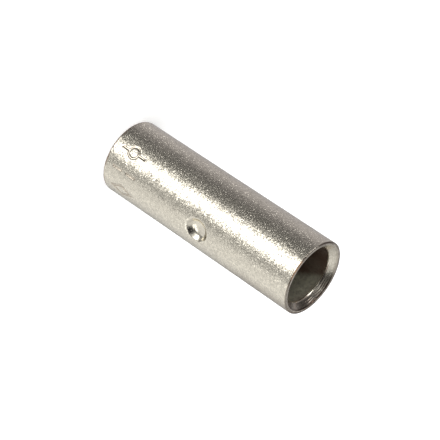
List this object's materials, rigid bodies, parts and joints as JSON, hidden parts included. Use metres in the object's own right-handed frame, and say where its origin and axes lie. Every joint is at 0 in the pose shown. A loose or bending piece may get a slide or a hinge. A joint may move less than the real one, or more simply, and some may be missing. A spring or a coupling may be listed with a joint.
{
  "type": "uninsulated butt connector",
  "caption": "Tinned copper crimp sleeve that joins stranded wires end to end, with countersunk mouths and a punched wire stop inside.",
  "frame": {"origin": "centre of the lower end, on the tube's axis, at the surface that the sleeve stands on", "axes": "+Z along the tube's axis towards the upper mouth, -Y towards the punch mark of the wire stop, +X to the right of it"},
  "size_m": [0.008, 0.008, 0.0248],
  "materials": {
    "tinned_copper": "satin"
  },
  "bodies": {
    "root": {"sleeve": "tinned_copper"}
  },
  "joints": []
}
